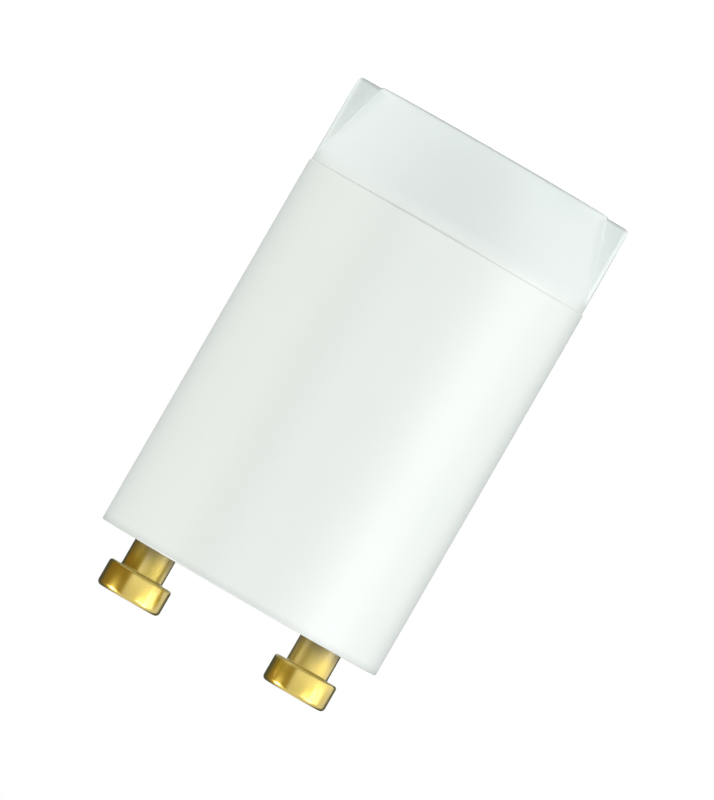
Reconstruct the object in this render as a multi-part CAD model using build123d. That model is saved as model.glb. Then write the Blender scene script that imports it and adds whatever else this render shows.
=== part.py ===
from build123d import *
import os
from math import cos, radians, sin, tan

# Starter for a fluorescent lamp: a moulded canister with a bi-pin base, and inside it a glow switch
# in a sealed glass bulb, with an interference capacitor wired across the same two pins.
# Millimetres. The part stands on its head: z = 0 is the flat end of the head, +Z runs up to the pins,
# and the pins lie on the X axis.

# Canister, outside
canister_diameter = 21.0
canister_length = 34.2
head_height = 6.5
head_inset = 0.09
head_end_diameter = 17.5
head_edge_bevel = 0.3
cone_height = 5.9
rim_bevel = 0.15
wing_thickness = 3.0
wing_drop = 0.1
wing_edge_bevel = 0.3
gate_well_diameter = 2.4
gate_well_depth = 0.25
gate_nub_diameter = 0.8
gate_nub_height = 0.12

# Canister, inside
side_wall = 1.0
end_wall = 1.1
ledge_width = 0.35
key_width = 1.6
key_height = 0.6
key_clearance = 0.05

# Base plate
plate_thickness = 1.8
plate_recess = 0.3
plate_clearance = 0.05
plate_edge_bevel = 0.15
snap_height = 0.15
snap_width = 0.6
boss_height = 0.8
boss_margin = 0.15

# Pins
pin_pitch = 12.7
pin_head_diameter = 4.7
pin_head_height = 1.95
pin_head_bevel = 0.3
pin_head_back_bevel = 0.12
pin_neck_diameter = 3.1
pin_neck_length = 2.25
pin_shank_diameter = 2.4
pin_shank_clearance = 0.025
pin_collar_diameter = 3.6
pin_collar_thickness = 0.4
pin_collar_bevel = 0.12
pin_bore_diameter = 1.3
pin_solid_end = 2.6
drill_half_angle = 59

# Wires and solder
lead_diameter = 0.5
lead_gap = 0.1
lead_bend_run = 0.4
lead_bend_drop = 1.5
lead_rise = 3.4
lead_depth = 2.0
solder_depth = 1.4
solder_height = 0.5
solder_diameter = 2.7

# Glass bulb of the glow switch
bulb_diameter = 8.6
bulb_wall = 0.6
bulb_standoff = 7.0
bulb_floor_gap = 3.1
pinch_width = 6.8
pinch_thickness = 2.4
pinch_length = 2.6
pinch_taper = 3.0
exhaust_tip_length = 1.3
exhaust_tip_diameter = 0.8
exhaust_root_diameter = 2.2
dome_cones = 4

# Electrodes inside the bulb
electrode_diameter = 0.8
electrode_spacing = 3.6
fixed_electrode_end_gap = 3.1
post_length = 6.0
strip_width = 2.0
strip_thickness = 0.25
strip_lap = 2.0
strip_end_gap = 3.8
strip_bend_radius = 1.2
weld_gap = 0.05
contact_gap = 0.85

# Interference capacitor
capacitor_width = 7.2
capacitor_thickness = 3.4
capacitor_height = 7.5
capacitor_end_bevel = 0.8
capacitor_standoff = 5.4
capacitor_lead_spacing = 5.0
capacitor_lead_embed = 1.2
bulb_to_capacitor_gap = 1.0

# Radii worked out from the sizes above
body_r = canister_diameter / 2
bore_r = body_r - side_wall
seat_r = bore_r + ledge_width
plate_r = seat_r - plate_clearance
head_r = body_r - head_inset
head_end_r = head_end_diameter / 2
pin_head_r = pin_head_diameter / 2
pin_neck_r = pin_neck_diameter / 2
pin_shank_r = pin_shank_diameter / 2
pin_collar_r = pin_collar_diameter / 2
pin_bore_r = pin_bore_diameter / 2
lead_r = lead_diameter / 2
electrode_r = electrode_diameter / 2
bulb_r = bulb_diameter / 2

# Levels on Z, from the rim inwards
rim_z = canister_length
plate_top = rim_z - plate_recess
plate_under = plate_top - plate_thickness
boss_face = plate_under - boss_height
collar_face = boss_face - pin_collar_thickness
pin_head_back = plate_top + pin_neck_length
pin_end = pin_head_back + pin_head_height
outer_bend = collar_face - lead_bend_drop
inner_bend = outer_bend - lead_rise
pinch_end = plate_under - bulb_standoff
pinch_middle = pinch_end - pinch_length / 2
pinch_start = pinch_end - pinch_length
taper_start = pinch_start - pinch_taper
dome_end = end_wall + bulb_floor_gap + exhaust_tip_length
post_end = pinch_middle - post_length
strip_root = post_end + strip_lap
strip_tip = dome_end + strip_end_gap
fixed_electrode_end = dome_end + fixed_electrode_end_gap
capacitor_top = plate_under - capacitor_standoff

# Places across the canister: bulb and capacitor stand side by side, centred as a pair
stack_width = bulb_diameter + bulb_to_capacitor_gap + capacitor_thickness
bulb_y = stack_width / 2 - bulb_r
capacitor_y = capacitor_thickness / 2 - stack_width / 2
pin_x = pin_pitch / 2
electrode_x = electrode_spacing / 2
wire_y = (lead_diameter + lead_gap) / 2
strip_x = -electrode_x + electrode_r + weld_gap + strip_thickness / 2
strip_tip_x = electrode_x - electrode_r - contact_gap - strip_thickness / 2


def turned(outline, bevels=()):
    """Solid of revolution about Z from (radius, height) corners; each bevel is (corner, size)."""
    face = make_face(Polyline(*outline, close=True))
    for corner, size in bevels:
        face = chamfer(face.vertices().sort_by_distance(Vector(*corner))[0], size)
    return revolve(Plane.XZ * face, Axis.Z)


def snap_ring(rim, width):
    """Low ridge with a pointed section that stands out all round a rim at the plate's middle."""
    middle = (plate_top + plate_under) / 2
    low = middle - width / 2
    high = middle + width / 2
    root = rim - snap_height
    return turned([(root, low), (rim, low), (rim + snap_height, middle), (rim, high), (root, high)])


def keys(width, top, inner_r, outer_r):
    """Two blocks on the Y axis, one on each side, that stop the plate from turning."""
    block = Box(width, outer_r - inner_r, top - plate_under, align=(Align.CENTER, Align.MIN, Align.MIN))
    block = Pos(0, inner_r, plate_under) * block
    return block + Rot(0, 0, 180) * block


def canister():
    """Moulded housing: straight side, conical head with two flat grip wings, and a seat for the plate."""
    outside = turned(
        [
            (0, 0),
            (head_end_r, 0),
            (head_r, cone_height),
            (head_r, head_height),
            (body_r, head_height),
            (body_r, rim_z),
            (0, rim_z),
        ],
        [
            ((head_end_r, 0), head_edge_bevel),
            ((body_r, rim_z), rim_bevel),
        ],
    )
    wings = Pos(0, 0, wing_drop) * Cylinder(
        head_r, head_height, align=(Align.CENTER, Align.CENTER, Align.MIN)
    )
    wings &= Box(canister_diameter, wing_thickness, 4 * head_height)
    ends = wings.edges().filter_by(Axis.Z) + wings.edges().group_by(Axis.Z)[0]
    wings = chamfer(ends, wing_edge_bevel)

    slope = (head_r - head_end_r) / cone_height
    floor_r = head_end_r - side_wall + slope * end_wall
    above_rim = rim_z + plate_recess
    cavity = turned(
        [
            (0, end_wall),
            (floor_r, end_wall),
            (bore_r, cone_height),
            (bore_r, plate_under),
            (seat_r, plate_under),
            (seat_r, rim_z - rim_bevel),
            (seat_r + rim_bevel + plate_recess, above_rim),
            (0, above_rim),
        ]
    )
    groove = snap_ring(seat_r, snap_width + 2 * plate_clearance)
    stops = keys(key_width, plate_top, seat_r - key_height, (seat_r + body_r) / 2)
    well = Cylinder(gate_well_diameter / 2, gate_well_depth, align=(Align.CENTER, Align.CENTER, Align.MIN))
    nub = Cylinder(gate_nub_diameter / 2, gate_nub_height, align=(Align.CENTER, Align.CENTER, Align.MAX))
    well -= Pos(0, 0, gate_well_depth) * nub
    return outside + wings - cavity - groove + stops - well


def base_plate():
    """Insulating disc that snaps into the canister and carries both pins."""
    plate = turned(
        [(0, plate_under), (plate_r, plate_under), (plate_r, plate_top), (0, plate_top)],
        [((plate_r, plate_top), plate_edge_bevel)],
    )
    plate += snap_ring(plate_r, snap_width)
    boss_r = pin_collar_r + boss_margin
    hole_r = pin_shank_r + pin_shank_clearance
    for side in (-1, 1):
        boss = Cylinder(boss_r, boss_height, align=(Align.CENTER, Align.CENTER, Align.MAX))
        plate += Pos(side * pin_x, 0, plate_under) * boss
    for side in (-1, 1):
        plate -= Pos(side * pin_x, 0, plate_top) * Cylinder(hole_r, 4 * plate_thickness)
    notch_r = seat_r - key_height - key_clearance
    return plate - keys(key_width + 2 * key_clearance, plate_top, notch_r, body_r)


def pin(side):
    """Turned contact pin: headed and necked outside, riveted through the plate, bored for the wires."""
    bore_top = pin_end - pin_solid_end
    point = pin_bore_r / tan(radians(drill_half_angle))
    stud = turned(
        [
            (pin_bore_r, collar_face),
            (pin_collar_r, collar_face),
            (pin_collar_r, boss_face),
            (pin_shank_r, boss_face),
            (pin_shank_r, plate_top),
            (pin_neck_r, plate_top),
            (pin_neck_r, pin_head_back),
            (pin_head_r, pin_head_back),
            (pin_head_r, pin_end),
            (0, pin_end),
            (0, bore_top + point),
            (pin_bore_r, bore_top),
        ],
        [
            ((pin_collar_r, collar_face), pin_collar_bevel),
            ((pin_head_r, pin_head_back), pin_head_back_bevel),
            ((pin_head_r, pin_end), pin_head_bevel),
        ],
    )
    return Pos(side * pin_x, 0, 0) * stud


def wire(points):
    """Round wire along straight runs, with one short slanting run across each bend."""
    points = [Vector(point) for point in points]
    runs = [points[0]]
    for before, corner, after in zip(points, points[1:], points[2:]):
        for end in (before, after):
            runs.append(corner + (end - corner).normalized() * lead_bend_run)
    path = Polyline(*runs, points[-1])
    section = Plane(origin=path @ 0, z_dir=path % 0) * Circle(lead_r)
    return sweep(section, path=path, transition=Transition.RIGHT)


def bulb_lead(side):
    """Outer lead of the glow switch: up from the pinch, across to a pin and into its bore."""
    return wire(
        [
            (side * electrode_x, bulb_y, pinch_middle),
            (side * electrode_x, bulb_y, inner_bend),
            (side * pin_x, wire_y, outer_bend),
            (side * pin_x, wire_y, collar_face + lead_depth),
        ]
    )


def capacitor_lead(side):
    """Lead of the capacitor: slants out of its coating to the same pin and turns into the bore."""
    leaves = Vector(side * capacitor_lead_spacing / 2, capacitor_y, capacitor_top)
    turns = Vector(side * pin_x, -wire_y, outer_bend)
    start = leaves - (turns - leaves).normalized() * capacitor_lead_embed
    return wire([start, turns, (side * pin_x, -wire_y, collar_face + lead_depth)])


def tube(radius, low, high):
    """Plain round bar between two levels on Z."""
    bar = Cylinder(radius, high - low, align=(Align.CENTER, Align.CENTER, Align.MIN))
    return Pos(0, 0, low) * bar


def electrode(x, end):
    """Straight nickel rod held in the pinch."""
    return Pos(x, bulb_y, 0) * tube(electrode_r, end, pinch_middle)


def bimetal_strip():
    """Flat blade lapped on the post and set over towards the fixed electrode."""
    path = FilletPolyline(
        (strip_x, bulb_y, strip_root),
        (strip_x, bulb_y, post_end),
        (strip_tip_x, bulb_y, strip_tip),
        radius=[strip_bend_radius],
    )
    section = Plane(origin=path @ 0, x_dir=(0, 1, 0), z_dir=path % 0) * Rectangle(
        strip_width, strip_thickness
    )
    return sweep(section, path=path)


def oval_bar(half_width, thickness, low, high):
    """Round bar between two levels, cut flat on both sides to a thickness."""
    slab = Pos(0, 0, low) * Box(
        2 * half_width, thickness, high - low, align=(Align.CENTER, Align.CENTER, Align.MIN)
    )
    return tube(half_width, low, high) & slab


def pressed_tube(radius, half_width, thickness, flat_level):
    """Length of tube above taper_start that is pressed flat towards flat_level."""
    rise = flat_level - taper_start
    cone = Cone(radius, half_width, rise, align=(Align.CENTER, Align.CENTER, Align.MIN))
    wedge = Polyline((-radius, 0), (radius, 0), (thickness / 2, rise), (-thickness / 2, rise), close=True)
    wedge = extrude(Plane.YZ * make_face(wedge), radius, both=True)
    return Pos(0, 0, taper_start) * (cone & wedge)


def dome(radius, cones):
    """Corners of a dome from its pole to its widest, cut as a number of straight cones."""
    turns = [radians(90) * step / cones for step in range(cones + 1)]
    return [(radius * sin(turn), dome_end + bulb_r - radius * cos(turn)) for turn in turns]


def glow_bulb_glass():
    """Sealed envelope: domed tube with an exhaust tip, pressed flat round the electrodes' wires."""
    inner_r = bulb_r - bulb_wall
    half_pinch = pinch_width / 2
    root_r = exhaust_root_diameter / 2
    tip_end = dome_end - exhaust_tip_length
    outer = turned(
        [
            (0, tip_end),
            (exhaust_tip_diameter / 2, tip_end),
            (root_r, dome_end + root_r * tan(radians(45) / dome_cones)),
            *dome(bulb_r, dome_cones)[1:],
            (bulb_r, taper_start),
            (0, taper_start),
        ]
    )
    outer += pressed_tube(bulb_r, half_pinch, pinch_thickness, pinch_start)
    outer += oval_bar(half_pinch, pinch_thickness, pinch_start, pinch_end)
    hollow = turned([*dome(inner_r, dome_cones // 2), (inner_r, taper_start), (0, taper_start)])
    hollow += pressed_tube(
        inner_r, half_pinch - bulb_wall, pinch_thickness - 2 * bulb_wall, pinch_start - bulb_wall
    )
    glass = Pos(0, bulb_y, 0) * (outer - hollow)
    for side in (-1, 1):
        x = side * electrode_x
        glass -= Pos(x, bulb_y, 0) * tube(electrode_r, taper_start, pinch_middle)
        glass -= Pos(x, bulb_y, 0) * tube(lead_r, pinch_middle, pinch_end)
    return glass


def capacitor_body():
    """Dipped film capacitor: a flattened roll with bevelled ends, pierced by its two leads."""
    section = SlotOverall(capacitor_width, capacitor_thickness)
    roll = extrude(Plane.XY.offset(capacitor_top - capacitor_height) * section, capacitor_height)
    ends = roll.edges().group_by(Axis.Z)
    roll = Pos(0, capacitor_y, 0) * chamfer(ends[0] + ends[-1], capacitor_end_bevel)
    return roll - capacitor_lead(-1) - capacitor_lead(1)


def solder(side):
    """Joint that fills the mouth of a pin's bore round both wires and beads under its collar."""
    low = collar_face - solder_height
    joint = turned(
        [
            (0, low),
            (pin_bore_r, low),
            (solder_diameter / 2, collar_face),
            (pin_bore_r, collar_face),
            (pin_bore_r, collar_face + solder_depth),
            (0, collar_face + solder_depth),
        ]
    )
    for bore_y in (-wire_y, wire_y):
        joint -= Pos(0, bore_y, 0) * tube(lead_r, low, collar_face + lead_depth)
    return Pos(side * pin_x, 0, 0) * joint


nodes = {
    "canister": canister(),
    "base_plate": base_plate(),
    "glow_bulb_glass": glow_bulb_glass(),
    "fixed_electrode": electrode(electrode_x, fixed_electrode_end),
    "bimetal_post": electrode(-electrode_x, post_end),
    "bimetal_strip": bimetal_strip(),
    "capacitor_body": capacitor_body(),
}
for name, side in (("left", -1), ("right", 1)):
    nodes["pin_" + name] = pin(side)
    nodes["bulb_lead_" + name] = bulb_lead(side)
    nodes["capacitor_lead_" + name] = capacitor_lead(side)
    nodes["solder_" + name] = solder(side)

os.makedirs("parts", exist_ok=True)
for name, shape in nodes.items():
    export_step(shape, "parts/" + name + ".step")
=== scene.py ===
from math import asin, cos, hypot, pi, radians, sin, tan

import bmesh
import bpy
from mathutils import Matrix, Vector


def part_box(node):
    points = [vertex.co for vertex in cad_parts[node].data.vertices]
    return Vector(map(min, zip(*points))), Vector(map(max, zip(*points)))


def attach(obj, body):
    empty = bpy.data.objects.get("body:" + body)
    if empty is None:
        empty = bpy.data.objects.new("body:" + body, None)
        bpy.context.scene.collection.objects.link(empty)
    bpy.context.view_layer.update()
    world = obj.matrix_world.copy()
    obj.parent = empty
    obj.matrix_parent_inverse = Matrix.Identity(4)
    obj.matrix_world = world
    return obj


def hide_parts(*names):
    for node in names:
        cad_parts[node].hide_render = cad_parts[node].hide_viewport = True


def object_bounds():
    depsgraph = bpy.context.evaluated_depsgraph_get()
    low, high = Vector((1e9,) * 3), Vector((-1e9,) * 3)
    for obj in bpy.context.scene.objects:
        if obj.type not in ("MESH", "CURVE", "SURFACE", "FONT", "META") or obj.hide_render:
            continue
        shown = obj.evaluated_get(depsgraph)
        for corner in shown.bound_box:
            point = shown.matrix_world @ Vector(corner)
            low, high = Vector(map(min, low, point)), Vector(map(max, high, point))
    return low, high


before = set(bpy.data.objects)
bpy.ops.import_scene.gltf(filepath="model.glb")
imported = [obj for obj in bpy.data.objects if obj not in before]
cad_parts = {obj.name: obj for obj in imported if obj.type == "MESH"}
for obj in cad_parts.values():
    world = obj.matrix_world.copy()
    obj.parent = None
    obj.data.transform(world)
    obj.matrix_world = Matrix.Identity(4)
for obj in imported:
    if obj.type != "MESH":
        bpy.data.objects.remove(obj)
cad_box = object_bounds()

bl_info = {
    "name": "Fluorescent starter",
    "version": (1, 0, 0),
    "blender": (4, 5, 0),
    "location": "3D View > Sidebar > Starter",
    "description": "Builds a fluorescent starter with its glow switch and capacitor on a plain stage",
    "category": "Object",
}

MM = 0.001
FULL_TURN = 2 * pi
SENSOR_WIDTH = 36.0
WHITE = (1.0, 1.0, 1.0, 1.0)


def length(name, description, millimetres):
    """Property for a length, which the sidebar shows in the scene's own units."""
    return bpy.props.FloatProperty(
        name=name, description=description, default=millimetres * MM, min=0.0, precision=5, unit="LENGTH"
    )


def share(name, description, value):
    """Property for a share from 0 to 1."""
    return bpy.props.FloatProperty(
        name=name, description=description, default=value, min=0.0, max=1.0, subtype="FACTOR"
    )


def colour(name, description, value):
    """Property for a colour in linear light."""
    return bpy.props.FloatVectorProperty(
        name=name, description=description, default=value, size=3, min=0.0, max=1.0, subtype="COLOR"
    )


def level(name, description, value):
    """Property for how brightly a surface or a lamp shines."""
    return bpy.props.FloatProperty(name=name, description=description, default=value, min=0.0)


class StarterSizes(bpy.types.PropertyGroup):
    """Sizes of the outside that the frame's boxes do not give."""

    head_end: length("Head end", "Diameter of the flat end of the head", 17.5)
    cone_height: length("Cone height", "Height of the conical part of the head", 5.9)
    head_height: length("Head height", "Height of the whole head, up to the step", 6.5)
    head_inset: length("Head inset", "How far the head lies inside the body's side", 0.09)
    head_round: length("Head rounding", "Rounding of the head's edge", 0.22)
    shoulder_round: length("Shoulder rounding", "Rounding of the edge above the cone", 0.5)
    step_round: length("Step rounding", "Rounding of the step above the head", 0.085)
    rim_round: length("Rim rounding", "Rounding of the rim round the base plate", 0.1)
    gate_well: length("Gate well", "Diameter of the well that the moulding's gate leaves in the head", 2.4)
    gate_well_depth: length("Gate well depth", "Depth of that well", 0.25)
    gate_nub: length("Gate nub", "Diameter of the nub in the gate well", 0.8)
    gate_nub_height: length("Gate nub height", "Height of the nub in the gate well", 0.12)
    wing_thickness: length("Wing thickness", "Thickness of the two grip wings", 3.0)
    wing_round: length("Wing rounding", "Rounding of the wings' edges", 0.3)
    wing_drop: length("Wing drop", "How far the wings end short of the head's flat end", 0.1)
    wall: length("Wall", "Thickness of the canister's side wall", 1.0)
    end_wall: length("End wall", "Thickness of the canister's closed end", 1.1)
    floor_round: length("Floor rounding", "Rounding inside, between the closed end and the side", 0.6)
    ledge: length("Ledge", "Width of the ledge on which the base plate rests", 0.35)
    plate_thickness: length("Plate thickness", "Thickness of the base plate at its edge", 1.8)
    key_width: length("Key width", "Width of the two keys that hold the base plate from turning", 1.6)
    key_depth: length("Key depth", "Depth of the two keys, from inside the bore into the wall", 0.9)
    key_round: length("Key rounding", "Rounding of the keys' edges", 0.1)
    pin_head: length("Pin head", "Height of a contact pin's head", 1.95)
    pin_round: length("Pin rounding", "Rounding of a contact pin's outer edge", 0.32)
    pin_back_round: length("Pin back rounding", "Rounding of the edge at the back of a pin's head", 0.22)
    pin_neck: length("Pin neck", "Diameter of a contact pin's neck", 3.1)
    pin_root_round: length("Pin root rounding", "Rounding where a pin's neck meets its head", 0.1)
    pin_shank: length("Pin shank", "Diameter of a contact pin in the base plate", 2.4)
    pin_collar: length("Pin collar", "Diameter of the riveted collar under the base plate", 3.6)
    pin_collar_thickness: length("Pin collar thickness", "Thickness of that collar", 0.4)
    pin_collar_round: length("Pin collar rounding", "Rounding of the collar's edge", 0.12)


class StarterInside(bpy.types.PropertyGroup):
    """Sizes of the glow switch, the capacitor and the wires that the frame's boxes do not give."""

    bulb_wall: length("Bulb wall", "Thickness of the bulb's glass", 0.6)
    tip_length: length("Exhaust tip length", "How far the sealed exhaust tip stands out of the dome", 1.3)
    tip_width: length("Exhaust tip", "Diameter of the exhaust tip", 0.8)
    tip_root: length("Exhaust tip root", "Diameter at which the exhaust tip runs into the dome", 2.2)
    pinch_width: length("Pinch width", "Width of the bulb's pressed end", 6.8)
    pinch_thickness: length("Pinch thickness", "Thickness of the bulb's pressed end", 2.4)
    pinch_length: length("Pinch length", "Length of the bulb's pressed end", 2.6)
    pinch_taper: length("Pinch taper", "Length over which the tube runs into its pressed end", 3.0)
    rod_round: length("Rod rounding", "Rounding of the electrodes' free ends", 0.15)
    capacitor_round: length("Capacitor rounding", "Rounding of the capacitor's two ends", 0.8)
    capacitor_pitch: length("Capacitor lead pitch", "Distance between the capacitor's leads at its end", 5.0)
    capacitor_embed: length("Lead in the coating", "Length of each lead inside the capacitor's coating", 1.2)
    wire: length("Wire", "Diameter of the leads", 0.5)
    wire_bend: length("Wire bend", "Radius of the bends in the leads", 0.6)
    inner_bend: length("Inner bend", "Height of the bend next to the bulb", 26.0)
    outer_bend: length("Outer bend", "Height of the bend under a pin", 29.4)
    pin_bore: length("Pin bore", "Diameter of the bore in a contact pin", 1.3)
    bore_end: length("Bore end", "Height at which the bore stops being straight", 35.5)
    bore_tip: length("Bore tip", "Height of the point that the drill leaves", 36.0)


class StarterFinishes(bpy.types.PropertyGroup):
    """Colours and gloss of the starter's materials."""

    plastic: colour("Housing plastic", "Colour of the moulded canister", (0.88, 0.92, 0.89))
    plastic_shade: colour("Housing shade", "Colour of the canister's faint cloudiness", (0.835, 0.885, 0.855))
    plastic_gloss: share("Housing roughness", "Roughness of the moulded canister", 0.38)
    plate: colour("Plate plastic", "Colour of the base plate", (0.78, 0.8, 0.74))
    plate_gloss: share("Plate roughness", "Roughness of the base plate", 0.55)
    brass: colour("Brass", "Colour of clean turned brass", (0.6, 0.445, 0.065))
    # Also the colour of the painted shade at the pins' roots, next to the plastic.
    brass_dull_and_shade: colour("Dull brass", "Colour of brass where it has dulled", (0.12, 0.095, 0.04))
    glass: colour("Glass", "Colour of the bulb's glass", (0.93, 0.97, 0.96))
    nickel: colour("Nickel", "Colour of the electrodes", (0.62, 0.6, 0.56))
    nickel_dull: colour("Dull nickel", "Colour of nickel where it has dulled", (0.4, 0.38, 0.34))
    blade_warm: colour("Blade's warm side", "Colour of the metal that expands more", (0.66, 0.6, 0.48))
    blade_cool: colour("Blade's cool side", "Colour of the metal that expands less", (0.5, 0.52, 0.55))
    coating: colour("Capacitor coating", "Colour of the dipped capacitor", (0.45, 0.09, 0.035))
    tin: colour("Tinned wire", "Colour of the tinned copper leads", (0.75, 0.75, 0.74))
    tin_dull: colour("Dull tin", "Colour of the leads where the copper shows through", (0.62, 0.5, 0.42))


class StarterStage(bpy.types.PropertyGroup):
    """Camera, lamps and floor: left is the side of the left pin, right the side of the right pin."""

    camera_distance: bpy.props.FloatProperty(
        name="Camera distance",
        description="Distance from the camera to the starter's axis",
        default=1.4,
        min=0.1,
        unit="LENGTH",
    )
    camera_roll: bpy.props.FloatProperty(
        name="Camera roll",
        description="How far the camera is turned about its line of sight",
        default=radians(150),
        subtype="ANGLE",
    )
    camera_aside: length("Camera aside", "How far the camera stands to its own right of the middle", 0.3)
    view_height: length("View height", "Height of what the camera takes in at the starter", 53.28)
    low_left: level("Low left box", "Radiance of the low soft box on the left", 1.9)
    strip_left: level("Left strip box", "Radiance of the low strip box on the left", 5.5)
    front_left: level("Front left box", "Radiance of the wide soft box in front on the left", 5.3)
    side_left: level("Side left box", "Radiance of the narrow soft box on the left", 1.855)
    high_left: level("High left box", "Radiance of the raised soft box on the left", 4.5)
    high_front: level("High front box", "Radiance of the raised soft box in front", 0.2)
    side_right: level("Side right box", "Radiance of the narrow soft box on the right", 3.0)
    high_right: level("High right box", "Radiance of the raised soft box on the right", 10.4)
    room: level("Room light", "Radiance of the light from all round", 0.32)
    floor_matte: share("Floor", "Share of light that the floor scatters", 0.65)
    floor_glow: level("Floor glow", "How far the floor shines towards the camera and in reflections", 0.84)


class Number:
    """A socket that carries a number, on which Python's operators work."""

    def __init__(self, look, socket):
        self.look = look
        self.socket = socket

    def __add__(self, other):
        return self.look.maths("ADD", self, other)

    __radd__ = __add__

    def __sub__(self, other):
        return self.look.maths("SUBTRACT", self, other)

    def __rsub__(self, other):
        return self.look.maths("SUBTRACT", other, self)

    def __mul__(self, other):
        return self.look.maths("MULTIPLY", self, other)

    __rmul__ = __mul__

    def __pow__(self, other):
        return self.look.maths("POWER", self, other)


class Look:
    """Node tree of a material or a world, built node by node."""

    def __init__(self, owner):
        owner.use_nodes = True
        self.owner = owner
        self.tree = owner.node_tree
        self.tree.nodes.clear()

    def node(self, kind, settings={}, sockets={}, out=0):
        """Adds a node with its settings, then its sockets' values or links, and gives one output."""
        made = self.tree.nodes.new(kind)
        for name, value in settings.items():
            setattr(made, name, value)
        for name, value in sockets.items():
            if isinstance(value, Number):
                self.tree.links.new(value.socket, made.inputs[name])
            else:
                made.inputs[name].default_value = value
        return Number(self, made.outputs[out]) if len(made.outputs) else made

    def maths(self, operation, first, second=0.0):
        return self.node("ShaderNodeMath", {"operation": operation}, {0: first, 1: second})

    def mix(self, factor, first, second):
        """Colour between two colours."""
        first, second = (c if isinstance(c, Number) else (*c, 1.0) for c in (first, second))
        sockets = {0: factor, 6: first, 7: second}
        return self.node("ShaderNodeMix", {"data_type": "RGBA"}, sockets, out=2)

    def place(self, shift=(0, 0, 0), stretch=(1, 1, 1)):
        """Where a point lies on its piece, in metres, moved and stretched."""
        where = self.node("ShaderNodeTexCoord", out="Object")
        return self.node("ShaderNodeMapping", {}, {"Vector": where, "Location": shift, "Scale": stretch})

    def along(self, where, axis):
        return self.node("ShaderNodeSeparateXYZ", {}, {0: where}, out=axis)

    def noise(self, where, size, detail=2.0, roughness=0.5):
        """Even noise about 0.5, with features of about the given size in metres."""
        sockets = {"Vector": where, "Scale": 1 / size, "Detail": detail, "Roughness": roughness}
        return self.node("ShaderNodeTexNoise", {}, sockets)

    def between(self, value, low, high):
        """Smooth step from 0 at low to 1 at high."""
        sockets = {"Value": value, "From Min": low, "From Max": high}
        return self.node("ShaderNodeMapRange", {"interpolation_type": "SMOOTHSTEP"}, sockets)

    def bump(self, height, strength, distance):
        sockets = {"Height": height, "Strength": strength, "Distance": distance}
        return self.node("ShaderNodeBump", {}, sockets)

    def seen(self):
        """1 where the camera sees the surface itself, in a reflection or through glass, else 0."""
        path = "ShaderNodeLightPath"
        rays = self.node(path, out="Is Camera Ray")
        rays = self.maths("MAXIMUM", rays, self.node(path, out="Is Glossy Ray"))
        return self.maths("MAXIMUM", rays, self.node(path, out="Is Transmission Ray"))

    def surface(self, shader):
        self.node("ShaderNodeOutputMaterial", {}, {"Surface": shader})
        return self.owner

    def principled(self, sockets):
        return self.surface(self.node("ShaderNodeBsdfPrincipled", {}, sockets))


def new_look(name):
    return Look(bpy.data.materials.new(name))


def moulded_plastic(name, main, shade, roughness, head_top=0.0, rim=0.0):
    """Moulded plastic with faint clouds and fine grain, cooler below head_top, and with painted shade greying
    it towards the rim.
    """
    look = new_look(name)
    where = look.place()
    clouds = look.noise(where, 0.012)
    specks = look.noise(where, 0.0005, 4.0, 0.6)
    grain = look.noise(where, 0.00012, 2.0)
    tone = look.mix(look.between(clouds, 0.3, 0.75) * 0.5 + (specks - 0.5) * 0.35, main, shade)
    if rim:
        up = look.along(where, "Z")
        head = 1 - look.between(up, head_top - 0.0012, head_top)
        tone = look.mix(head * 0.5, tone, tuple(c * k for c, k in zip(main, (0.98, 1.02, 1.04))))
        # Painted shade: over the last 0.6 mm below the rim the plastic darkens towards three quarters of its
        # colour.
        tone = look.mix(look.between(up, rim - 0.0006, rim) * 0.6, tone, tuple(c * 0.75 for c in main))
    return look.principled(
        {
            "Base Color": tone,
            "Roughness": roughness + (clouds - 0.5) * 0.08 + (grain - 0.5) * 0.12,
            "IOR": 1.5,
            "Specular IOR Level": 1.0,
            "Normal": look.bump(grain + specks * 0.6, 0.12, 0.00002),
        }
    )


def turned_brass(name, main, dull, pin_x, root, tip):
    """Brass turned on a lathe: fine rings about each pin's own axis, a few random dull stains, and painted
    shade that darkens it towards the plastic.
    """
    look = new_look(name)
    where = look.place()
    across = look.maths("ABSOLUTE", look.along(where, "X")) - pin_x
    depth = look.along(where, "Y")
    out = (across * across + depth * depth) ** 0.5
    up = look.along(where, "Z")
    ring = look.node("ShaderNodeCombineXYZ", {}, {"X": out, "Y": 0.0, "Z": up})
    rings = look.noise(ring, 0.00006, 3.0, 0.7)
    stain = look.noise(where, 0.0011, 4.0, 0.6)
    # Painted shade: the brass darkens towards the dull colour from tip down to root, where the neck leaves
    # the plastic; the noise adds a few random stains.
    stain_and_root_shade = look.between(stain, 0.45, 0.8) * 0.08 + (1 - look.between(up, root, tip)) * 0.9
    return look.principled(
        {
            "Base Color": look.mix(stain_and_root_shade, main, dull),
            "Metallic": 1.0,
            "Roughness": 0.3 + stain_and_root_shade * 0.2 + (rings - 0.5) * 0.12,
            "Coat Weight": 0.8,
            "Coat Roughness": 0.16,
            "Coat IOR": 1.9,
            "Normal": look.bump(rings, 0.2, 0.00001),
        }
    )


def drawn_metal(name, main, dull, roughness, stretch):
    """Wire or strip drawn along one direction: fine lines with a little dulling."""
    look = new_look(name)
    where = look.place()
    lines = look.noise(look.place((0, 0, 0), stretch), 0.00005, 3.0, 0.6)
    stain = look.noise(where, 0.0012, 3.0)
    return look.principled(
        {
            "Base Color": look.mix(look.between(stain, 0.4, 0.8) * 0.6, main, dull),
            "Metallic": 1.0,
            "Roughness": roughness + (lines - 0.5) * 0.25 + stain * 0.08,
            "Normal": look.bump(lines, 0.25, 0.00001),
        }
    )


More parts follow.
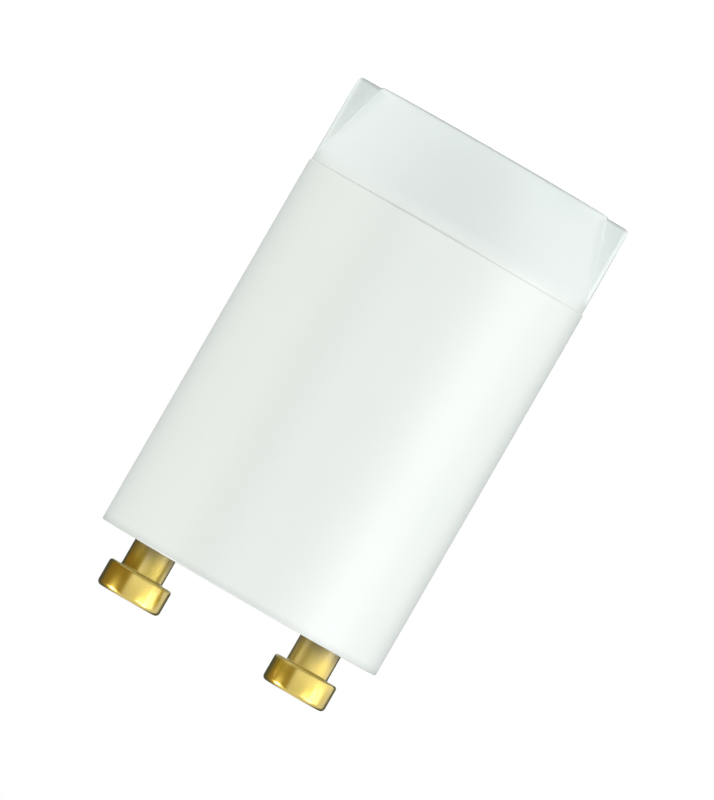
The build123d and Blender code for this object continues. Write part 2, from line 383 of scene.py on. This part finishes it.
def two_metals(name, warm, cool):
    """Blade of two rolled metals, one on each broad side, with rolling lines along it."""
    look = new_look(name)
    where = look.place()
    facing = look.along(look.node("ShaderNodeNewGeometry", out="Normal"), "X")
    lines = look.noise(look.place((0, 0, 0), (1, 1, 0.05)), 0.00006, 3.0, 0.6)
    heat = look.between(look.along(where, "Z"), 0.0165, 0.0196) * look.noise(where, 0.0009)
    tone = look.mix(look.between(facing, -0.2, 0.2), cool, warm)
    return look.principled(
        {
            "Base Color": look.mix(heat, tone, (0.2, 0.17, 0.2)),
            "Metallic": 1.0,
            "Roughness": 0.3 + (lines - 0.5) * 0.3 + heat * 0.2,
            "Normal": look.bump(lines, 0.3, 0.00001),
        }
    )


def blown_glass(name, main):
    """Clear lamp glass, faintly uneven as blown and pressed glass is."""
    look = new_look(name)
    where = look.place()
    ripple = look.noise(where, 0.003, 1.0)
    haze = look.between(look.noise(where, 0.0016, 3.0), 0.5, 0.9)
    return look.principled(
        {
            "Base Color": look.mix(haze * 0.4, main, (0.86, 0.92, 0.93)),
            "Roughness": 0.02 + haze * 0.06,
            "IOR": 1.51,
            "Transmission Weight": 1.0,
            "Normal": look.bump(ripple, 0.15, 0.0003),
        }
    )


def dipped_coating(name, main):
    """Thick glossy resin that a capacitor is dipped in, with slow waves and a few pits."""
    look = new_look(name)
    where = look.place()
    waves = look.noise(where, 0.0022, 2.0)
    pits = look.between(look.noise(where, 0.0004, 2.0), 0.68, 0.8)
    deep = tuple(c * 0.5 for c in main)
    return look.principled(
        {
            "Base Color": look.mix(look.between(waves, 0.35, 0.7) * 0.7 + pits * 0.3, main, deep),
            "Roughness": 0.16 + (waves - 0.5) * 0.1 + pits * 0.2,
            "IOR": 1.55,
            "Normal": look.bump(waves - pits * 0.15, 0.5, 0.0002),
        }
    )


def cooled_solder(name, main):
    """Solder that has set in a bead, bright with dull patches and traces of flux."""
    look = new_look(name)
    where = look.place()
    frost = look.noise(where, 0.0003, 4.0, 0.7)
    flux = look.between(look.noise(where, 0.0008, 2.0), 0.55, 0.75)
    return look.principled(
        {
            "Base Color": look.mix(flux * 0.5, main, (0.45, 0.33, 0.16)),
            "Metallic": 1 - flux * 0.4,
            "Roughness": 0.2 + look.between(frost, 0.4, 0.7) * 0.25,
            "Normal": look.bump(frost, 0.3, 0.00003),
        }
    )


def turned(bm, outline, steps=192):
    """Closed form spun about Z from a chain of (radius, height) corners, in millimetres."""
    chain = [bm.verts.new((radius, 0, height)) for radius, height in outline]
    edges = [bm.edges.new(pair) for pair in zip(chain, chain[1:])]
    bmesh.ops.spin(
        bm, geom=chain + edges, cent=(0, 0, 0), axis=(0, 0, 1), dvec=(0, 0, 0), angle=FULL_TURN,
        steps=steps, use_merge=True, use_normal_flip=False, use_duplicate=False,
    )
    bmesh.ops.remove_doubles(bm, verts=bm.verts, dist=1e-5)
    bmesh.ops.recalc_face_normals(bm, faces=bm.faces)


def round_edges(bm, edges, size, segments=4):
    bmesh.ops.bevel(
        bm, geom=edges, offset=size, offset_type="OFFSET", affect="EDGES", segments=segments,
        profile=0.5, material=-1, clamp_overlap=True, loop_slide=True,
    )


def round_ring(bm, radius, height, size, segments=4):
    """Rounds the ring of edges at one radius and height."""
    near = {v for v in bm.verts if abs(hypot(v.co.x, v.co.y) - radius) < 1e-3 and abs(v.co.z - height) < 1e-3}
    round_edges(bm, [e for e in bm.edges if e.verts[0] in near and e.verts[1] in near], size, segments)


def add_wing(bm, sizes, side):
    """One grip wing: a slice of a ring, cut flat on both sides and rounded outside and below."""
    wing = bmesh.new()
    sunk = 0.45
    clear_of_head = 0.005
    below_step = 0.2
    half = sizes.wing_thickness / MM / 2
    head_end = sizes.head_end / MM / 2
    drop = sizes.wing_drop / MM
    outer = (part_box("canister")[1].x - sizes.head_inset) / MM - clear_of_head
    top = sizes.head_height / MM - below_step
    corners = [(head_end - sunk, drop), (outer, drop), (outer, top), (outer - sunk, top)]
    start = asin(half / outer)
    turn = Matrix.Rotation(-start, 3, "Z")
    chain = [wing.verts.new(turn @ Vector((x, 0, z))) for x, z in corners]
    edges = [wing.edges.new(pair) for pair in zip(chain, chain[1:] + chain[:1])]
    last = bmesh.ops.spin(
        wing, geom=chain + edges, cent=(0, 0, 0), axis=(0, 0, 1), dvec=(0, 0, 0), angle=2 * start,
        steps=6, use_merge=False, use_normal_flip=False, use_duplicate=False,
    )["geom_last"]
    far = [v for v in last if isinstance(v, bmesh.types.BMVert)]
    for side_y, verts in ((-half, chain), (half, far)):
        for vert in verts:
            vert.co.y = side_y
    bmesh.ops.holes_fill(wing, edges=[e for e in wing.edges if e.is_boundary], sides=0)
    bmesh.ops.recalc_face_normals(wing, faces=wing.faces)
    rounded = []
    for edge in wing.edges:
        on_side = all(abs(abs(v.co.y) - half) < 1e-4 for v in edge.verts)
        outside = all(abs(hypot(*v.co.xy) - outer) < 1e-3 for v in edge.verts)
        below = all(abs(v.co.z - drop) < 1e-4 for v in edge.verts)
        if (on_side and (outside or below)) or (outside and below):
            rounded.append(edge)
    round_edges(wing, rounded, sizes.wing_round / MM)
    about = Matrix.Rotation(pi if side < 0 else 0, 3, "Z")
    bmesh.ops.rotate(wing, verts=wing.verts, cent=(0, 0, 0), matrix=about)
    join(bm, wing)


def add_block(bm, low, high, rounding):
    """Closed block between two corners, with all its edges rounded."""
    block = bmesh.new()
    centre = (Vector(low) + Vector(high)) / 2
    size = Vector(high) - Vector(low)
    matrix = Matrix.Translation(centre) @ Matrix.Diagonal((*size, 1.0))
    bmesh.ops.create_cube(block, size=1.0, matrix=matrix)
    round_edges(block, block.edges[:], rounding, 3)
    join(bm, block)


def join(bm, part):
    """Moves one mesh's shape into another."""
    mesh = bpy.data.meshes.new("part")
    part.to_mesh(mesh)
    part.free()
    bm.from_mesh(mesh)
    bpy.data.meshes.remove(mesh)


def finish(bm, name, look, nodes, body="housing"):
    """Turns a shape in millimetres into a smooth-shaded piece that stands for its CAD nodes."""
    bmesh.ops.scale(bm, vec=(MM, MM, MM), verts=bm.verts)
    mesh = bpy.data.meshes.new(name)
    bm.to_mesh(mesh)
    bm.free()
    mesh.shade_smooth()
    mesh.set_sharp_from_angle(angle=radians(50))
    mesh.materials.append(look)
    piece = bpy.data.objects.new(name, mesh)
    bpy.context.scene.collection.objects.link(piece)
    shading = piece.modifiers.new("Even shading", "WEIGHTED_NORMAL")
    shading.mode = "FACE_AREA"
    shading.weight = 100
    shading.keep_sharp = True
    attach(piece, body)
    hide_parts(*nodes)
    return piece


def dress(node, look):
    """Gives a CAD node its material."""
    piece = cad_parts[node]
    if not piece.material_slots:
        piece.data.materials.append(None)
    for place in piece.material_slots:
        place.material = look


class STARTER_OT_canister(bpy.types.Operator):
    """Builds the moulded canister with its conical head and two grip wings"""

    bl_idname = "starter.canister"
    bl_label = "Canister"

    def execute(self, context):
        sizes = context.scene.starter_sizes
        finishes = context.scene.starter_finishes
        body, _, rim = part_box("canister")[1] / MM
        plate_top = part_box("base_plate")[1].z / MM
        head = body - sizes.head_inset / MM
        head_end = sizes.head_end / MM / 2
        cone = sizes.cone_height / MM
        step = sizes.head_height / MM
        well = sizes.gate_well / MM / 2
        well_floor = sizes.gate_well_depth / MM
        nub = sizes.gate_nub / MM / 2
        nub_top = well_floor - sizes.gate_nub_height / MM
        bore = body - sizes.wall / MM
        socket = bore + sizes.ledge / MM
        floor = sizes.end_wall / MM
        floor_edge = head_end - sizes.wall / MM + (head - head_end) / cone * floor
        ledge = plate_top - sizes.plate_thickness / MM
        outline = [
            (0, nub_top), (nub, nub_top), (nub, well_floor), (well, well_floor), (well, 0),
            (head_end, 0), (head, cone), (head, step), (body, step), (body, rim), (socket, rim),
            (socket, ledge), (bore, ledge), (bore, cone), (floor_edge, floor), (0, floor),
        ]
        nub_round = 0.03
        well_round = 0.06
        bm = bmesh.new()
        turned(bm, outline)
        for radius, height, size, segments in (
            (nub, nub_top, nub_round, 2),
            (well, 0, well_round, 3),
            (head_end, 0, sizes.head_round / MM, 6),
            (head, cone, sizes.shoulder_round / MM, 6),
            (body, step, sizes.step_round / MM, 3),
            (body, rim, sizes.rim_round / MM, 4),
            (socket, rim, sizes.rim_round / MM, 4),
            (floor_edge, floor, sizes.floor_round / MM, 4),
        ):
            round_ring(bm, radius, height, size, segments)
        key = sizes.key_width / MM / 2
        depth = sizes.key_depth / MM / 2
        into_bore = 0.15
        for side in (-1, 1):
            add_wing(bm, sizes, side)
            middle = side * (socket - into_bore)
            low = (-key, middle - depth, ledge)
            high = (key, middle + depth, plate_top)
            add_block(bm, low, high, sizes.key_round / MM)
        look = moulded_plastic(
            "housing plastic", finishes.plastic, finishes.plastic_shade, finishes.plastic_gloss,
            sizes.head_height, rim * MM,
        )
        finish(bm, "moulded_canister", look, ["canister"])
        return {"FINISHED"}


class STARTER_OT_base_plate(bpy.types.Operator):
    """Gives the insulating base plate its moulded plastic"""

    bl_idname = "starter.base_plate"
    bl_label = "Base plate"

    def execute(self, context):
        finishes = context.scene.starter_finishes
        shade = tuple(c * 0.9 for c in finishes.plate)
        look = moulded_plastic("plate plastic", finishes.plate, shade, finishes.plate_gloss)
        dress("base_plate", look)
        return {"FINISHED"}


class STARTER_OT_pins(bpy.types.Operator):
    """Turns the two brass contact pins"""

    bl_idname = "starter.pins"
    bl_label = "Contact pins"

    def execute(self, context):
        sizes = context.scene.starter_sizes
        inside = context.scene.starter_inside
        finishes = context.scene.starter_finishes
        low, high = (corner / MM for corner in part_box("pin_right"))
        plate_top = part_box("base_plate")[1].z / MM
        pin_x = (low.x + high.x) / 2
        head = (high.x - low.x) / 2
        neck = sizes.pin_neck / MM / 2
        shank = sizes.pin_shank / MM / 2
        collar = sizes.pin_collar / MM / 2
        collar_top = low.z + sizes.pin_collar_thickness / MM
        bore = inside.pin_bore / MM / 2
        back = high.z - sizes.pin_head / MM
        # Painted shade on the pins' necks fades out between the plate and this height.
        root_shade_end = back - 0.4
        look = turned_brass(
            "turned brass", finishes.brass, finishes.brass_dull_and_shade, pin_x * MM, plate_top * MM, root_shade_end * MM
        )
        outline = [
            (0, inside.bore_tip / MM), (bore, inside.bore_end / MM), (bore, low.z), (collar, low.z),
            (collar, collar_top), (shank, collar_top), (shank, plate_top), (neck, plate_top),
            (neck, back), (head, back), (head, high.z), (0, high.z),
        ]
        for name, side in (("left", -1), ("right", 1)):
            bm = bmesh.new()
            turned(bm, outline, steps=96)
            for radius, height, size, segments in (
                (head, high.z, sizes.pin_round, 6),
                (head, back, sizes.pin_back_round, 4),
                (neck, back, sizes.pin_root_round, 3),
                (collar, low.z, sizes.pin_collar_round, 3),
            ):
                round_ring(bm, radius, height, size / MM, segments)
            bmesh.ops.translate(bm, verts=bm.verts, vec=(side * pin_x, 0, 0))
            finish(bm, "contact_pin_" + name, look, ["pin_" + name])
        return {"FINISHED"}


def quarter(start, end, steps, upright=False):
    """Corners of a quarter ellipse between two (radius, height) corners, level or upright at its start."""
    chain = []
    for step in range(steps + 1):
        turn = pi / 2 * step / steps
        across, up = (1 - cos(turn), sin(turn)) if upright else (sin(turn), 1 - cos(turn))
        chain.append((start[0] + (end[0] - start[0]) * across, start[1] + (end[1] - start[1]) * up))
    return chain


def press(bm, radius, start, end, half_width, half_thickness):
    """Presses a round tube flat between two heights, and narrows it."""
    squareness = 8
    onset = 5
    for vert in bm.verts:
        part = max(0.0, min((vert.co.z - start) / (end - start), 1.0))
        part *= part * (3 - 2 * part)
        narrow = 1 + (half_width / radius - 1) * part
        limit = radius + (half_thickness - radius) * part
        depth = vert.co.y * narrow
        flat = depth / (1 + abs(depth / limit) ** squareness) ** (1 / squareness)
        vert.co.x *= narrow
        vert.co.y = depth + (flat - depth) * min(onset * part, 1.0)


def add_wire(bm, corners, radius, bend):
    """Round wire along straight runs, turned through every corner and closed at both ends."""
    corners = [Vector(corner) for corner in corners]
    wire = bmesh.new()
    place = corners[0]
    ahead = (corners[1] - place).normalized()
    turn = ahead.to_track_quat("Z", "Y").to_matrix().to_4x4()
    verts = bmesh.ops.create_circle(
        wire, segments=20, radius=radius, matrix=Matrix.Translation(place) @ turn
    )["verts"]
    ring = verts + wire.edges[:]
    for corner, after in zip(corners[1:], corners[2:] + [None]):
        onward = (after - corner).normalized() if after else ahead
        angle = ahead.angle(onward)
        stop = corner - ahead * (bend * tan(angle / 2))
        ring = bmesh.ops.spin(
            wire, geom=ring, cent=place, axis=ahead, dvec=stop - place, angle=0,
            steps=1, use_merge=False, use_normal_flip=False, use_duplicate=False,
        )["geom_last"]
        if after:
            inward = (onward - ahead * ahead.dot(onward)).normalized()
            ring = bmesh.ops.spin(
                wire, geom=ring, cent=stop + inward * bend, axis=ahead.cross(onward).normalized(),
                dvec=(0, 0, 0), angle=angle, steps=8, use_merge=False, use_normal_flip=False,
                use_duplicate=False,
            )["geom_last"]
        place = corner + onward * (bend * tan(angle / 2))
        ahead = onward
    bmesh.ops.holes_fill(wire, edges=[e for e in wire.edges if e.is_boundary], sides=0)
    bmesh.ops.recalc_face_normals(wire, faces=wire.faces)
    join(bm, wire)


class STARTER_OT_glow_switch(bpy.types.Operator):
    """Blows the bulb's glass with its exhaust tip and pinch, and sets the electrodes in it"""

    bl_idname = "starter.glow_switch"
    bl_label = "Glow switch"

    def execute(self, context):
        inside = context.scene.starter_inside
        finishes = context.scene.starter_finishes
        low, high = (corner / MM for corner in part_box("glow_bulb_glass"))
        radius = (high.x - low.x) / 2
        tip = inside.tip_width / MM / 2
        root = inside.tip_root / MM / 2
        wall = inside.bulb_wall / MM
        dome = low.z + inside.tip_length / MM
        widest = dome + radius
        pinch = high.z - inside.pinch_length / MM
        taper = pinch - inside.pinch_taper / MM
        pinch_width = inside.pinch_width / MM / 2
        pinch_thickness = inside.pinch_thickness / MM / 2
        root_height = widest - (radius ** 2 - root ** 2) ** 0.5
        blunt = low.z + 0.25
        past_root = root + 0.05
        rings = 12
        levels = [taper + (pinch - taper) * step / rings for step in range(rings + 1)]

        bm = bmesh.new()
        turned(
            bm,
            [
                *quarter((0, low.z), (tip, blunt), 5),
                *quarter((tip, blunt), (root, root_height), 8, upright=True)[1:],
                *(corner for corner in quarter((0, dome), (radius, widest), 24) if corner[0] > past_root),
                *((radius, level) for level in levels),
                (radius, high.z),
                (0, high.z),
            ],
            steps=96,
        )
        press(bm, radius, taper, pinch, pinch_width, pinch_thickness)
        hollow = bmesh.new()
        narrow = radius - wall
        turned(
            hollow,
            [
                *quarter((0, dome + wall), (narrow, widest), 20),
                *((narrow, level) for level in levels if level < pinch - wall),
                (narrow, pinch - wall),
                (0, pinch - wall),
            ],
            steps=96,
        )
        press(hollow, narrow, taper, pinch - wall, pinch_width - wall, pinch_thickness - wall)
        bmesh.ops.reverse_faces(hollow, faces=hollow.faces)
        join(bm, hollow)
        bmesh.ops.translate(bm, verts=bm.verts, vec=(0, (low.y + high.y) / 2, 0))
        finish(bm, "bulb_glass", blown_glass("lamp glass", finishes.glass), ["glow_bulb_glass"])

        lengthways = (1, 1, 0.04)
        nickel = drawn_metal("drawn nickel", finishes.nickel, finishes.nickel_dull, 0.28, lengthways)
        for node in ("fixed_electrode", "bimetal_post"):
            low, high = (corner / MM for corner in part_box(node))
            rod = (high.x - low.x) / 2
            bm = bmesh.new()
            turned(bm, [(0, low.z), (rod, low.z), (rod, high.z), (0, high.z)], steps=32)
            round_ring(bm, rod, low.z, inside.rod_round / MM)
            bmesh.ops.translate(bm, verts=bm.verts, vec=((low.x + high.x) / 2, (low.y + high.y) / 2, 0))
            finish(bm, node + "_rod", nickel, [node])
        blade = two_metals("bimetal blade", finishes.blade_warm, finishes.blade_cool)
        dress("bimetal_strip", blade)
        return {"FINISHED"}


class STARTER_OT_capacitor(bpy.types.Operator):
    """Dips the flat capacitor in its coating"""

    bl_idname = "starter.capacitor"
    bl_label = "Capacitor"

    def execute(self, context):
        low, high = (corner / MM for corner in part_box("capacitor_body"))
        end = (high.y - low.y) / 2
        straight = (high.x - low.x) / 2 - end
        bm = bmesh.new()
        turned(bm, [(0, low.z), (end, low.z), (end, high.z), (0, high.z)], steps=96)
        for level in (low.z, high.z):
            round_ring(bm, end, level, context.scene.starter_inside.capacitor_round / MM, 8)
        for vert in bm.verts:
            if abs(vert.co.x) > 1e-4:
                vert.co.x += straight if vert.co.x > 0 else -straight
        bmesh.ops.translate(bm, verts=bm.verts, vec=(0, (low.y + high.y) / 2, 0))
        look = dipped_coating("dipped coating", context.scene.starter_finishes.coating)
        finish(bm, "dipped_capacitor", look, ["capacitor_body"])
        return {"FINISHED"}


class STARTER_OT_leads(bpy.types.Operator):
    """Bends the four leads and fills the pins' bores with solder"""

    bl_idname = "starter.leads"
    bl_label = "Leads and solder"

    def execute(self, context):
        inside = context.scene.starter_inside
        finishes = context.scene.starter_finishes
        look = drawn_metal("tinned copper", finishes.tin, finishes.tin_dull, 0.3, (1, 1, 1))
        solder = cooled_solder("solder", tuple(c * 0.92 for c in finishes.tin))
        radius = inside.wire / MM / 2
        bend = inside.wire_bend / MM
        inner_bend = inside.inner_bend / MM
        outer_bend = inside.outer_bend / MM
        bore = inside.pin_bore / MM / 2
        capacitor_low, capacitor_high = (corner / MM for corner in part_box("capacitor_body"))
        for name, side in (("left", -1), ("right", 1)):
            low, high = (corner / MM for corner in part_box("bulb_lead_" + name))
            near, far = sorted((low.x + radius, high.x - radius), key=abs)
            corners = [
                (near, high.y - radius, low.z),
                (near, high.y - radius, inner_bend),
                (far, low.y + radius, outer_bend),
                (far, low.y + radius, high.z),
            ]
            bm = bmesh.new()
            add_wire(bm, corners, radius, bend)
            finish(bm, "bulb_wire_" + name, look, ["bulb_lead_" + name])

            low, high = (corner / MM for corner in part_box("capacitor_lead_" + name))
            middle = (capacitor_low.y + capacitor_high.y) / 2
            leaves = Vector((side * inside.capacitor_pitch / MM / 2, middle, capacitor_high.z))
            turns = Vector((far, high.y - radius, outer_bend))
            start = leaves - (turns - leaves).normalized() * (inside.capacitor_embed / MM)
            bm = bmesh.new()
            add_wire(bm, [start, turns, (far, high.y - radius, high.z)], radius, bend)
            finish(bm, "capacitor_wire_" + name, look, ["capacitor_lead_" + name])

            low, high = (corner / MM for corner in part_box("solder_" + name))
            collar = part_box("pin_" + name)[0].z / MM
            bm = bmesh.new()
            turned(
                bm,
                [
                    (0, low.z), *quarter((bore, low.z), ((high.x - low.x) / 2, collar), 8, upright=True),
                    (bore, collar), (bore, high.z), (0, high.z),
                ],
                steps=64,
            )
            bmesh.ops.translate(bm, verts=bm.verts, vec=(far, 0, 0))
            finish(bm, "solder_joint_" + name, solder, ["solder_" + name])
        return {"FINISHED"}


def outward(angle, distance, height):
    """Point at a distance from the starter's axis, angle turned from the camera towards the left pin."""
    return Vector((-distance * sin(angle), -distance * cos(angle), height))


def add_soft_box(name, angle, distance, middle, width, height, radiance):
    """Rectangular lamp at some height that faces the starter."""
    starter_middle = Vector((0, 0, 0.02))
    lamp = bpy.data.lights.new(name, "AREA")
    lamp.shape = "RECTANGLE"
    lamp.size = width
    lamp.size_y = height
    lamp.energy = pi * width * height * radiance
    holder = bpy.data.objects.new(name, lamp)
    bpy.context.scene.collection.objects.link(holder)
    holder.location = outward(radians(angle), distance, middle)
    aim = starter_middle - holder.location
    holder.rotation_euler = aim.to_track_quat("-Z", "Y").to_euler()


def add_dark_card(name, start, end, outline, look):
    """Card that only shows in reflections: (distance, height) corners swept between two angles."""
    bm = bmesh.new()
    chain = [bm.verts.new(outward(start, distance, height)) for distance, height in outline]
    edges = [bm.edges.new(pair) for pair in zip(chain, chain[1:])]
    bmesh.ops.spin(
        bm, geom=chain + edges, cent=(0, 0, 0), axis=(0, 0, 1), dvec=(0, 0, 0), angle=start - end,
        steps=24, use_merge=False, use_normal_flip=False, use_duplicate=False,
    )
    mesh = bpy.data.meshes.new(name)
    bm.to_mesh(mesh)
    bm.free()
    mesh.materials.append(look)
    card = bpy.data.objects.new(name, mesh)
    bpy.context.scene.collection.objects.link(card)
    card.visible_camera = False
    card.visible_shadow = False
    card.visible_diffuse = False


class STARTER_OT_stage(bpy.types.Operator):
    """Sets out the floor, the room light, the soft boxes and the camera"""

    bl_idname = "starter.stage"
    bl_label = "Stage"

    def execute(self, context):
        scene = context.scene
        stage = scene.starter_stage
        scene.view_settings.view_transform = "Standard"

        bm = bmesh.new()
        floor_reach = 6.0
        just_below = Matrix.Translation((0, 0, -0.02 * MM))
        bmesh.ops.create_grid(bm, x_segments=1, y_segments=1, size=floor_reach, matrix=just_below)
        mesh = bpy.data.meshes.new("floor")
        bm.to_mesh(mesh)
        bm.free()
        floor = bpy.data.objects.new("floor", mesh)
        scene.collection.objects.link(floor)
        look = new_look("floor paper")
        grey = (*[stage.floor_matte] * 3, 1.0)
        glow = look.seen() * stage.floor_glow
        matte = look.node("ShaderNodeBsdfDiffuse", {}, {"Color": grey})
        shine = look.node("ShaderNodeEmission", {}, {"Color": WHITE, "Strength": glow})
        mesh.materials.append(look.surface(look.node("ShaderNodeAddShader", {}, {0: matte, 1: shine})))

        world = bpy.data.worlds.new("room")
        scene.world = world
        sky = Look(world)
        cool = (0.97, 1.0, 0.99, 1.0)
        room = sky.node("ShaderNodeBackground", {}, {"Color": cool, "Strength": stage.room})
        white = sky.node("ShaderNodeBackground", {}, {"Color": WHITE, "Strength": 1.0})
        both = sky.node("ShaderNodeMixShader", {}, {0: sky.seen(), 1: room, 2: white})
        sky.node("ShaderNodeOutputWorld", {}, {"Surface": both})

        # Angle in degrees, distance, height of the middle, width and height in metres, radiance
        for name, *values in (
            ("low left box", 79, 0.6, 0.1, 0.3, 0.2, stage.low_left),
            ("front left box", 45, 0.57, 0.185, 0.34, 0.12, stage.front_left),
            ("side left box", 65, 0.57, 0.185, 0.2, 0.12, stage.side_left),
            ("side right box", -68, 0.57, 0.185, 0.2, 0.12, stage.side_right),
            ("left strip box", 60, 0.6, 0.06, 0.06, 0.1, stage.strip_left),
            ("high left box", 66, 0.5, 0.335, 0.2, 0.3, stage.high_left),
            ("high front box", 20, 0.5, 0.335, 0.4, 0.3, stage.high_front),
            ("high right box", -70, 0.5, 0.335, 0.2, 0.3, stage.high_right),
        ):
            add_soft_box(name, *values)

        # First and last angle in degrees, colour
        outline = ((0.05, 0.001), (0.8, 0.001), (0.8, 0.9))
        for name, start, end, tone in (
            ("brown card", -28, -125, (0.3, 0.2, 0.045)),
            ("back card right", -125, -176, (0.07, 0.09, 0.085)),
            ("back card left", 136, 176, (0.05, 0.07, 0.065)),
        ):
            card = new_look(name)
            card.surface(card.node("ShaderNodeEmission", {}, {"Color": (*tone, 1.0), "Strength": 1.0}))
            add_dark_card(name, radians(start), radians(end), outline, card.owner)

        camera = bpy.data.cameras.new("camera")
        camera.type = "PERSP"
        camera.sensor_width = SENSOR_WIDTH
        camera.lens = SENSOR_WIDTH * stage.camera_distance / stage.view_height
        camera.clip_start = 0.01
        camera.clip_end = 50.0
        holder = bpy.data.objects.new("camera", camera)
        scene.collection.objects.link(holder)
        roll = stage.camera_roll
        right = Vector((cos(roll), 0, -sin(roll)))
        up = Vector((sin(roll), 0, cos(roll)))
        middle = Vector((0, 0, (cad_box[0][2] + cad_box[1][2]) / 2))
        eye = middle + right * stage.camera_aside - Vector((0, stage.camera_distance, 0))
        turn = Matrix((right, up, Vector((0, -1, 0)))).transposed().to_4x4()
        holder.matrix_world = Matrix.Translation(eye) @ turn
        scene.camera = holder
        return {"FINISHED"}


steps = (
    STARTER_OT_stage,
    STARTER_OT_canister,
    STARTER_OT_base_plate,
    STARTER_OT_pins,
    STARTER_OT_glow_switch,
    STARTER_OT_capacitor,
    STARTER_OT_leads,
)


class STARTER_PT_sidebar(bpy.types.Panel):
    """Sizes, finishes and building steps of the starter"""

    bl_label = "Fluorescent starter"
    bl_idname = "STARTER_PT_sidebar"
    bl_space_type = "VIEW_3D"
    bl_region_type = "UI"
    bl_category = "Starter"

    def draw(self, context):
        for holder, kind in groups.items():
            box = self.layout.box()
            for name in kind.__annotations__:
                box.prop(getattr(context.scene, holder), name)
        for step in steps:
            self.layout.operator(step.bl_idname)


groups = {
    "starter_sizes": StarterSizes,
    "starter_inside": StarterInside,
    "starter_finishes": StarterFinishes,
    "starter_stage": StarterStage,
}


def register():
    for name, group in groups.items():
        bpy.utils.register_class(group)
        setattr(bpy.types.Scene, name, bpy.props.PointerProperty(type=group))
    for cls in (*steps, STARTER_PT_sidebar):
        bpy.utils.register_class(cls)


def unregister():
    for cls in reversed((*steps, STARTER_PT_sidebar)):
        bpy.utils.unregister_class(cls)
    for name, group in groups.items():
        delattr(bpy.types.Scene, name)
        bpy.utils.unregister_class(group)


def main():
    register()
    bpy.ops.starter.stage()
    bpy.ops.starter.canister()
    bpy.ops.starter.base_plate()
    bpy.ops.starter.pins()
    bpy.ops.starter.glow_switch()
    bpy.ops.starter.capacitor()
    bpy.ops.starter.leads()
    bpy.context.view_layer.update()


if __name__ == "__main__":
    main()
